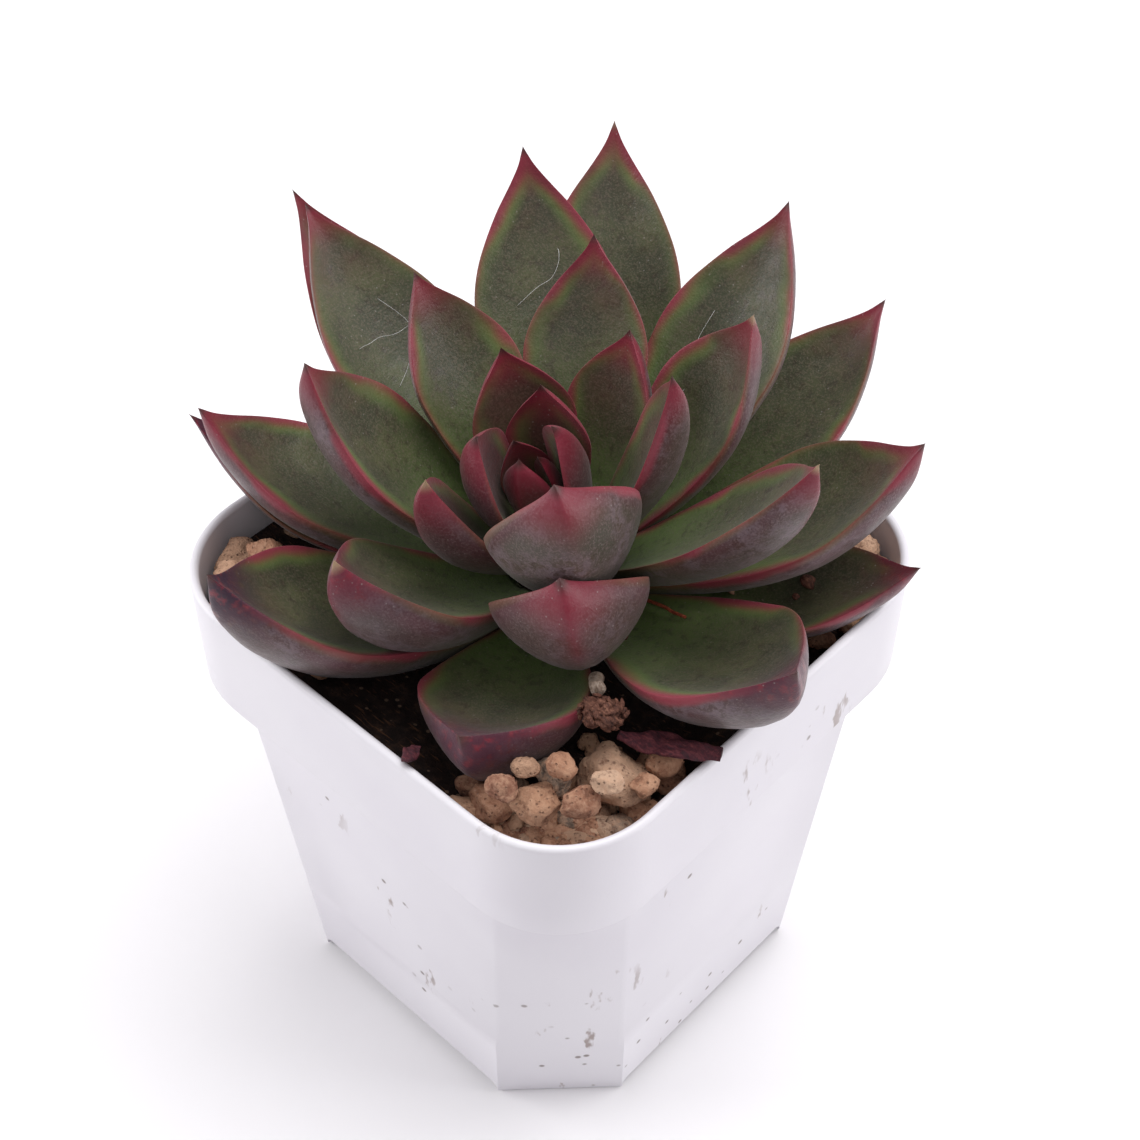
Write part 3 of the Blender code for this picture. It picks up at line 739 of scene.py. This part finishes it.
# %% [markdown]
# ## The bed
#
# The mix is dark, fibrous and crumbly. Its surface is laid over the model's bed by dropping a
# plumb line at every point, then roughened with three sizes of lump.

# %% Soil surface
BED_SHARES = 44
BED_DEPTH = 9.0 * MM
BED_GAP = 0.3
BED_TAPER = 0.93  # width of the hidden underside, as a share of the surface's
LUMPS = ((330, 0.45), (820, 0.3), (1900, 0.14))  # sizes of lump, as a scale and a height in mm
bed_points, bed_triangles = corners_of("potting_mix")
bed_tree = BVHTree.FromPolygons(bed_points.tolist(), bed_triangles.tolist())


def bed_at(x, y):
    """Height of the model's bed under a point, or nothing outside it."""
    hit = bed_tree.ray_cast(Vector((x, y, 1.0)), Vector((0, 0, -1)))[0]
    return hit.z if hit else None


def crumble(spot):
    return sum(noise.noise(spot * scale) * height for scale, height in LUMPS) * MM


def soil_rings():
    edge = band_ring(0, WALL + BED_GAP)
    centre = np.array(pot_axis)
    rings = []
    for share in np.linspace(1, 1 / BED_SHARES, BED_SHARES):
        ring = centre + (edge - centre) * share * 0.998
        for point in ring:
            flat = Vector((point[0], point[1], 0))
            calm = min(1, (1 - share) * 8)
            level = bed_at(*point[:2]) or bed_at(*(centre + (point - centre) * 0.97)[:2])
            point[2] = level + crumble(flat) * calm
        rings.append(ring)
    skirt = rings[0].copy()
    skirt[:, :2] = centre[:2] + (skirt[:, :2] - centre[:2]) * BED_TAPER
    skirt[:, 2] = rings[0][:, 2].min() - BED_DEPTH
    return [skirt] + rings


def soil_material():
    recipe = Recipe("peat_mix", Specular_IOR_Level=0.25)
    lumps = recipe.noise(700.0, 5.0, 0.65)
    fibres = recipe.noise(420.0, 4.0, 0.6, (1.0, 6.0, 1.0))
    bits = recipe.cells(520.0)
    dark = recipe.ramp(
        lumps, (0.3, (0.006, 0.004, 0.004)), (0.55, (0.024, 0.014, 0.012)), (0.75, (0.075, 0.040, 0.025))
    )
    colour = recipe.over(dark, (0.14, 0.065, 0.035), fibres, 0.60, 0.68, 0.0, 0.7)
    colour = recipe.over(colour, (0.30, 0.20, 0.14), bits, 0.16, 0.10, 0.0, 0.55)
    recipe.drive("Base Color", colour)
    recipe.drive("Roughness", recipe.fit(lumps, 0.2, 0.8, 0.75, 0.98))
    recipe.bump(lumps, 0.0006, 0.9)
    return recipe.material


soil = new_piece("crumbly_potting_mix", *loft(soil_rings()), soil_material(), "potting_mix", "potting_mix")
print("bed surface of", len(soil.data.polygons), "faces")

# %% [markdown]
# ## Pumice
#
# The stones are pumice: tan to pinkish, light, full of pits, and dusty. Every stone carries one
# number, its tone, that picks its colour. The pits are small cells pressed into the surface and
# painted darker inside as painted shade, and the larger hollows are in the mesh itself, so that
# they show on the outline too.

# %% Pumice finish
def pumice_material():
    recipe = Recipe("pitted_pumice", Specular_IOR_Level=0.3)
    tone = recipe.attribute("tone")
    body = recipe.noise(800.0, 5.0, 0.65)
    fine = recipe.noise(2600.0, 3.0, 0.65)
    pits = recipe.cells(1500.0)
    tan = recipe.ramp(
        tone,
        (0.0, (0.22, 0.095, 0.060)),
        (0.30, (0.36, 0.175, 0.105)),
        (0.55, (0.43, 0.235, 0.145)),
        (0.80, (0.54, 0.36, 0.25)),
        (1.0, (0.13, 0.105, 0.085)),
    )
    worn = recipe.over(tan, (0.56, 0.33, 0.215), body, 0.40, 0.68, 0.0, 0.6)
    stained = recipe.over(worn, (0.15, 0.065, 0.040), body, 0.48, 0.28, 0.0, 0.8)
    # The pits are painted darker inside: painted shade in the holes.
    pits_with_painted_shade = recipe.over(stained, (0.15, 0.075, 0.05), pits, 0.22, 0.08, 0.0, 0.55)
    recipe.drive("Base Color", recipe.over(pits_with_painted_shade, (0.66, 0.44, 0.32), fine, 0.5, 0.75, 0.0, 0.3))
    recipe.drive("Roughness", recipe.fit(fine, 0.3, 0.7, 0.78, 0.96))
    soft = recipe.bump(body, 0.0007, 0.8)
    recipe.bump(recipe.fit(pits, 0.06, 0.28), 0.00025, 0.8, soft)
    return recipe.material


pumice = pumice_material()
print("pumice ready")

# %% Stone shapes
def ball(detail):
    """Directions and triangles of an even ball."""
    build = bmesh.new()
    bmesh.ops.create_icosphere(build, subdivisions=detail, radius=1.0)
    build.verts.ensure_lookup_table()
    points = np.array([vertex.co for vertex in build.verts])
    faces = [tuple(vertex.index for vertex in face.verts) for face in build.faces]
    build.free()
    return points, faces


BALLS = {detail: ball(detail) for detail in (2, 3, 4)}
STONE_FLATS = 9
FLAT_DEPTHS = (0.66, 0.92)  # how far out the flats of a broken stone lie


def stone(detail, axes, seed, lumps=0.18, chips=0.14):
    """A broken, lumpy stone about its own middle; axes holds its three half lengths as rows."""
    directions, faces = BALLS[detail]
    breaks = random.Random(seed)
    flats = unit(np.array([[breaks.gauss(0, 1) for _ in range(3)] for _ in range(STONE_FLATS)]))
    depths = np.array([breaks.uniform(*FLAT_DEPTHS) for _ in range(STONE_FLATS)])
    facing = np.maximum(directions @ flats.T, 1e-3)
    reach = np.minimum((depths / facing).min(axis=1), 1.04)
    grown = []
    for direction, limit in zip(directions, reach):
        spot = Vector(direction) * 1.1 + Vector((seed * 5.7, seed * 2.3, seed * 9.1))
        swell = 1 + lumps * noise.noise(spot) - chips * abs(noise.noise(spot * 3.1))
        grown.append(direction * (limit * swell - 0.5 * chips * noise.noise(spot * 7.0)))
    return np.array(grown) @ axes, faces


def gathered(name, parts, material, slot, *replaced):
    """Several closed bodies as one piece, and how many points each of them has."""
    points, faces, counts = [], [], []
    for own_points, own_faces in parts:
        start = sum(counts)
        points.append(own_points)
        faces += [tuple(corner + start for corner in face) for face in own_faces]
        counts.append(len(own_points))
    return new_piece(name, np.concatenate(points), faces, material, slot, *replaced), counts


print({detail: len(faces) for detail, (_, faces) in BALLS.items()}, "faces by detail")

# %% Model pebbles as pumice
TONES = {"pebble_grey": 1.0, "pebble_pink": 0.12, "pebble_pale": 0.8}
TONES |= {"pebble_brown": 0.0, "pebble_long": 0.5}
STONE_GROWTH = 1.10  # makes up for what the flats take off


def own_axes(points):
    """Middle of a cloud of points, and its three main half lengths as rows."""
    middle = (points.min(axis=0) + points.max(axis=0)) / 2
    directions = np.linalg.svd(points - middle, full_matrices=False)[2]
    reach = np.abs((points - middle) @ directions.T).max(axis=0)
    return middle, directions * reach[:, None]


random.seed(4)
pebbles = []
for number, node in enumerate(name for name in nodes if name.startswith("pebble_")):
    middle, axes = own_axes(corners_of(node)[0])
    points, faces = stone(3 if "small" in node else 4, axes * STONE_GROWTH, number + 1)
    pebble = new_piece("pumice_" + node, points + middle, faces, pumice, "pumice", node)
    set_numbers(pebble, len(points), tone=TONES.get(node, random.uniform(0.25, 0.75)))
    pebbles.append(pebble)
print(len(pebbles), "large stones")

# %% [markdown]
# ## Grit between the stones
#
# Between the larger stones lie hundreds of grains. They are thrown at random, from a fixed seed,
# thickly in the corners and thinly under the plant, and each one is let down onto the bed.

# %% Loose grit
GRAINS = 460
CORNER_PULL = ((1, -1, 12, 14), (-1, -1, 9, 10), (1, 1, 9, 10), (-1, 1, 8, 11))
GRAIN_SIZES = (0.6, 0.8, 1.0, 1.3, 1.7)
GRAIN_SHAPE = (1.2, 0.95, 0.75)
GRAIN_MARGIN = 2.0
GRAIN_SPREAD = 0.55


def grain_spot():
    """A spot near a corner; the front corner is three times as likely as any other."""
    *sides, reach_x, reach_y = random.choice(CORNER_PULL + CORNER_PULL[:1] * 2)
    inside = RIM_HALF - WALL - GRAIN_MARGIN
    ins = [abs(random.gauss(0, GRAIN_SPREAD)) * reach for reach in (reach_x, reach_y)]
    return [side * (inside - far) for side, far in zip(sides, ins)]


def inside_rim(x, y, margin):
    """Whether a spot in the pot's own plane keeps a margin from the rounded corners."""
    straight = RIM_HALF - RIM_CORNER
    beyond = (max(abs(x) - straight, 0), max(abs(y) - straight, 0))
    return math.hypot(*beyond) < RIM_CORNER - WALL - margin


random.seed(11)
grains = []
tones = []
while len(grains) < GRAINS:
    x, y = grain_spot()
    size = random.choice(GRAIN_SIZES) * random.uniform(0.8, 1.15)
    if not inside_rim(x, y, size + 0.2):
        continue
    place = np.array(pot_axis) + np.array([x, y, 0]) * MM
    height = bed_at(place[0], place[1])
    if height is None:
        continue
    place[2] = height + size * 0.6 * MM
    spin = np.array(Matrix.Rotation(random.uniform(0, 6.28), 3, "Z"))
    axes = spin * np.array(GRAIN_SHAPE)[:, None] * size * MM
    points, faces = stone(3 if size > 0.85 else 2, axes, random.uniform(0, 40), 0.3, 0.1)
    grains.append((points + place, faces))
    tones.append(random.uniform(0.0, 1.0))
grit, counts = gathered("loose_grit", grains, pumice, "pumice")
set_numbers(grit, sum(counts), tone=np.repeat(tones, counts))
print(GRAINS, "grains,", len(grit.data.polygons), "faces")

# %% [markdown]
# ## Stem
#
# Under the leaves the stem is brown and corky, ringed by the scars of leaves that have fallen.
# The model's shape is right, so it stays and gets a bark finish.

# %% Bark finish
def bark_material():
    recipe = Recipe("corky_bark", Specular_IOR_Level=0.3)
    rings = recipe.noise(260.0, 4.0, 0.6, (1.0, 1.0, 5.0))
    flakes = recipe.noise(1400.0, 4.0)
    colour = recipe.ramp(
        rings, (0.3, (0.035, 0.018, 0.012)), (0.5, (0.11, 0.062, 0.038)), (0.72, (0.24, 0.15, 0.10))
    )
    colour = recipe.over(colour, (0.32, 0.25, 0.20), flakes, 0.55, 0.7, 0.0, 0.5)
    recipe.drive("Base Color", colour)
    recipe.drive("Roughness", recipe.fit(flakes, 0.3, 0.7, 0.75, 0.95))
    recipe.bump(rings, 0.0008, 0.9)
    return recipe.material


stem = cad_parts["stem"]
stem.data.materials.clear()
stem.data.materials.append(bark_material())
print("stem keeps", len(stem.data.polygons), "faces")

# %% [markdown]
# ## What the plant has shed
#
# In front of the rosette a flower stalk has been cut short, and its dried head has crumbled onto
# the stones. Beside it lies a dead leaf, wrinkled and dark purple, and a scrap of another hangs
# over the rim. Each follows the line of its piece in the model, read as the middles of its rings.

# %% Lines of the dry pieces
def line_of(node, sides):
    """Middles and half widths of the rings of a thin piece, in order along it."""
    points = corners_of(node)[0]
    middle = points.mean(axis=0)
    direction = np.linalg.svd(points - middle)[2][0]
    ordered = points[np.argsort((points - middle) @ direction)]
    rings = ordered.reshape(-1, sides, 3)
    middles = rings.mean(axis=1)
    return middles, np.linalg.norm(rings - middles[:, None], axis=2).max(axis=1)


def tube(middles, radii, sides, flatness, steps, roughness=0.0, scale=600.0, flutter=0.0):
    """A closed tube along a smooth line, flat or round, with optional wrinkles and wavy edges."""
    share = np.linspace(0, 1, steps)
    line = smooth_through(middles, share)
    width = smooth_through(radii, share)
    along = unit(np.gradient(line, axis=0))
    side = unit(np.cross(along, [0.0, 0.0, 1.0]))
    up = np.cross(side, along)
    turns = np.linspace(0, 2 * math.pi, sides, endpoint=False)
    rings = []
    for row in range(steps):
        ring = []
        for turn in turns:
            across = width[row] * math.cos(turn)
            lift = width[row] * flatness * math.sin(turn)
            wave = flutter * width[row] * math.sin(9 * share[row] + 2.2 * math.cos(turn))
            lift += wave * math.cos(turn) ** 2
            point = line[row] + side[row] * across + up[row] * lift
            spot = Vector(point)
            out = unit(side[row] * math.cos(turn) + up[row] * (math.sin(turn) + 1e-3))
            wrinkle = noise.noise(spot * scale) + 0.5 * noise.noise(spot * scale * 2.3)
            ring.append(point + out * roughness * wrinkle)
        rings.append(np.array(ring))
    return loft(rings)


def dry_material(name, dark, middle, light, scale=900.0):
    recipe = Recipe(name, Specular_IOR_Level=0.3)
    wrinkles = recipe.noise(scale, 5.0, 0.65, (1.0, 2.5, 1.0))
    flecks = recipe.noise(scale * 3, 3.0)
    colour = recipe.ramp(wrinkles, (0.32, dark), (0.5, middle), (0.72, light))
    recipe.drive("Base Color", recipe.over(colour, light, flecks, 0.58, 0.7, 0.0, 0.5))
    recipe.drive("Roughness", recipe.fit(wrinkles, 0.3, 0.7, 0.55, 0.85))
    recipe.bump(wrinkles, 0.0004, 0.9)
    return recipe.material


husk = dry_material("withered_purple_husk", (0.022, 0.005, 0.01), (0.065, 0.012, 0.02), (0.17, 0.045, 0.05))
straw = dry_material("dry_stalk_skin", (0.20, 0.13, 0.09), (0.42, 0.31, 0.24), (0.62, 0.52, 0.44), 1400.0)
crumb = dry_material(
    "crumbled_brown_head", (0.035, 0.013, 0.010), (0.13, 0.050, 0.033), (0.28, 0.13, 0.085), 1100.0
)
print("three dry finishes")

# %% Withered leaf, scrap and stub
# One row a piece: its place in the model, name, finish and slot, the corners in a ring of it and
# what its rings are widened by, then the sides, flatness, steps, wrinkles and flutter of its tube.
DEAD_WIDTHS = (0.9, 1.0, 1.0, 0.7)
DRY_PIECES = (
    ("withered_leaf", "wrinkled_dead_leaf", husk, "dry_husk", 8, DEAD_WIDTHS, 36, 0.34, 70, 0.35, 420, 0.35),
    ("dried_leaf_scrap", "torn_leaf_scrap", husk, "dry_husk", 6, 1.0, 24, 0.3, 40, 0.22, 700, 0.3),
    ("flower_stalk_stub", "cut_flower_stalk", straw, "dry_stalk", 8, 1.0, 24, 1.0, 30, 0.12, 900, 0.0),
)
for node, name, finish, slot, corners, widths, sides, flatness, steps, rough, scale, flutter in DRY_PIECES:
    middles, radii = line_of(node, corners)
    shape = tube(middles, radii * widths, sides, flatness, steps, rough * MM, scale, flutter)
    new_piece(name, *shape, finish, slot, node)
    print(name, round(np.linalg.norm(middles[-1] - middles[0]) / MM, 1), "mm")

# %% Crumbled head
CRUMBS = 70
CORE_SHARE = 0.80  # size of the solid core that the crumbs sit on
CRUMB_SHAPE = (1.25, 0.8, 0.55)
middle, axes = own_axes(corners_of("dried_flower_head")[0])
random.seed(21)
points, faces = stone(4, axes * CORE_SHARE, 3.0, 0.5, 0.5)
crumbs = [(points + middle, faces)]
for _ in range(CRUMBS):
    direction = Vector((random.gauss(0, 1), random.gauss(0, 1), random.gauss(0, 1))).normalized()
    reach = np.array(direction) @ axes * random.uniform(0.68, 0.88)
    size = random.uniform(0.28, 0.62) * MM
    turned = np.array(direction.to_track_quat("Z", "Y").to_matrix().transposed())
    flake = turned * np.array(CRUMB_SHAPE)[:, None] * size
    points, faces = stone(2, flake, random.uniform(0, 50), 0.5, 0.3)
    crumbs.append((points + middle + reach, faces))
gathered("crumbled_flower_head", crumbs, crumb, "dry_head", "dried_flower_head")
print("head of", len(crumbs), "lumps")

# %% [markdown]
# ## Small things on the leaves
#
# A pumice pebble and crumbs of soil have lodged on the low leaves, rust-red shreds of old leaf
# bases stick out between them, and a few hair-thin threads of spider silk cross the rosette.

# %% Stray pebble and crumbs
def resting_stone(leaf, share, across, size, seed, detail=4):
    node = f"leaf_{leaf:02d}"
    place = leaves[node].upper_point(share, across, size * 0.32 * MM)
    axes = np.diag([1.1, 0.9, 0.75]) * size / 2 * MM
    points, faces = stone(detail, axes, seed, 0.35, 0.15)
    return points + place, faces


strays = [resting_stone(28, 0.42, 0.55, 2.7, 8.0), resting_stone(28, 0.36, 0.10, 1.2, 9.0, 3)]
stray, counts = gathered("stray_pebble", strays, pumice, "pumice")
set_numbers(stray, sum(counts), tone=np.repeat((0.35, 0.1), counts))
spots = [(28, 0.62, 0.15, 1.9), (28, 0.58, -0.10, 0.9), (28, 0.30, -0.3, 0.8), (24, 0.2, 0.4, 0.9)]
soil_crumbs = [resting_stone(*spot, number * 3.3, 3) for number, spot in enumerate(spots)]
gathered("crumbs_on_leaves", soil_crumbs, crumb, "dry_head")
print(len(strays) + len(spots), "stray bits")

# %% Threads of silk and rusty shreds
STRAND_POINTS = 6
STRAND_GAP = 0.15 * MM
STRAND_ARCH = 0.6 * MM
SILK_RADIUS = 0.026 * MM
SHRED_RADIUS = 0.22 * MM


def strand(radius, leaf, start, end, bow, seed):
    """A thin strand over a leaf's upper face, from one (share, across) to another."""
    random.seed(seed)
    shape = leaves[f"leaf_{leaf:02d}"]
    points = []
    for step in range(STRAND_POINTS):
        part = step / (STRAND_POINTS - 1)
        share = start[0] + part * (end[0] - start[0]) + random.uniform(-0.02, 0.02)
        across = start[1] + part * (end[1] - start[1]) + bow * math.sin(math.pi * part)
        lift = radius + STRAND_GAP + STRAND_ARCH * math.sin(math.pi * part)
        points.append(shape.upper_point(share, across, lift))
    return tube(np.array(points), np.full(STRAND_POINTS, radius), 6, 1.0, 48)


SILK = (
    (27, (0.45, -0.2), (0.62, 0.35), 0.30, 1),
    (27, (0.60, 0.1), (0.48, 0.5), -0.25, 2),
    (19, (0.60, -0.4), (0.75, 0.3), 0.25, 3),
    (22, (0.50, -0.3), (0.72, 0.2), 0.35, 4),
    (22, (0.62, -0.5), (0.60, 0.4), -0.2, 5),
    (21, (0.40, -0.3), (0.66, 0.4), 0.2, 6),
    (15, (0.35, -0.4), (0.60, 0.5), 0.2, 7),
    (20, (0.50, 0.2), (0.30, 0.7), 0.3, 8),
)
SHREDS = (
    (24, (0.05, -0.8), (0.30, -0.5), 0.1, 31),
    (24, (0.02, 0.5), (0.20, 0.9), 0.1, 32),
    (28, (0.10, 0.2), (0.26, 0.8), 0.1, 33),
)
web = Recipe("spider_silk", Specular_IOR_Level=0.6)
web.drive("Base Color", web.ramp(web.noise(900.0), (0.3, (0.45, 0.44, 0.44)), (0.7, (0.82, 0.81, 0.80))))
web.drive("Roughness", web.fit(web.noise(500.0), 0.3, 0.7, 0.3, 0.5))
gathered("spider_silk", [strand(SILK_RADIUS, *row) for row in SILK], web.material, "dry_stalk")
rust = dry_material("rusty_shreds", (0.16, 0.025, 0.012), (0.36, 0.070, 0.030), (0.52, 0.16, 0.08), 1600.0)
gathered("rusty_shreds", [strand(SHRED_RADIUS, *row) for row in SHREDS], rust, "dry_husk")
print(len(SILK), "threads and", len(SHREDS), "shreds")

# %% [markdown]
# ## Light and ground
#
# The plant stands on a pale sheet in an even, bright room, with a broad soft light above it and a
# weaker one on each side. Only a faint high fill comes from the front, so the cut corner there
# stays the darkest part of the pot.

# %% Ground
def pale_material():
    recipe = Recipe("pale_sheet", Specular_IOR_Level=0.2)
    cloud = recipe.noise(6.0, 2.0)
    pale = recipe.over((0.90, 0.885, 0.90), (0.92, 0.905, 0.92), cloud, 0.3, 0.7)
    recipe.drive("Base Color", pale)
    recipe.drive("Roughness", recipe.fit(cloud, 0.3, 0.7, 0.6, 0.7))
    return recipe.material


ground_mesh = bpy.data.meshes.new("pale_ground")
build = bmesh.new()
bmesh.ops.create_grid(build, x_segments=8, y_segments=8, size=3.0)
build.to_mesh(ground_mesh)
build.free()
ground_mesh.materials.append(pale_material())
ground = placed("pale_ground", ground_mesh)
print("ground", [round(size, 1) for size in ground.dimensions])

# %% Lights
WORLD_STRENGTH = 0.40
LIT_POINT = Vector((0, 0, 0.05))
room = bpy.data.worlds.new("bright_room")
room.use_nodes = True
glow = room.node_tree.nodes["Background"]
glow.inputs["Color"].default_value = (0.985, 0.97, 1.0, 1.0)
glow.inputs["Strength"].default_value = WORLD_STRENGTH
bpy.context.scene.world = room


def soft_light(name, place, size, power):
    lamp = bpy.data.lights.new(name, "AREA")
    lamp.size = size
    lamp.energy = power
    fitting = placed(name, lamp)
    fitting.location = place
    aim = LIT_POINT - Vector(place)
    fitting.rotation_euler = aim.to_track_quat("-Z", "Y").to_euler()


soft_light("broad_overhead", (0.02, 0.24, 0.80), 0.60, 4.8)
soft_light("right_side", (0.60, 0.52, 0.34), 0.45, 2.5)
soft_light("left_side", (-0.62, -0.42, 0.36), 0.45, 3.4)
soft_light("front_fill", (0.30, -0.45, 0.75), 0.60, 0.9)
bpy.context.scene.view_settings.view_transform = "Standard"
bpy.context.scene.view_settings.look = "None"
print("room strength", WORLD_STRENGTH)

# %% [markdown]
# ## Camera
#
# The plant is looked down on from above the front corner of the pot, at about arm's length.

# %% Camera
CAMERA_TURN = math.radians(42.7)
CAMERA_TILT = math.radians(47.1)  # how steeply it looks down
CAMERA_ROLL = math.radians(0.3)
CAMERA_PLACE = (111.17, -117.03, 243.12)
CAMERA_LENS = 61.14

lens = bpy.data.cameras.new("front_corner_view")
lens.lens = CAMERA_LENS
lens.sensor_width = 36.0
lens.clip_start = 0.01
camera = placed("front_corner_view", lens)
turns = ((CAMERA_TURN, "Z"), (math.pi / 2 - CAMERA_TILT, "X"), (CAMERA_ROLL, "Z"))
pose = Matrix.Translation(Vector(CAMERA_PLACE) * MM + pot_axis)
for angle, axis in turns:
    pose = pose @ Matrix.Rotation(angle, 4, axis)
camera.matrix_world = pose
bpy.context.scene.camera = camera
print("camera", round((camera.location - pot_axis).length / MM), "mm away")
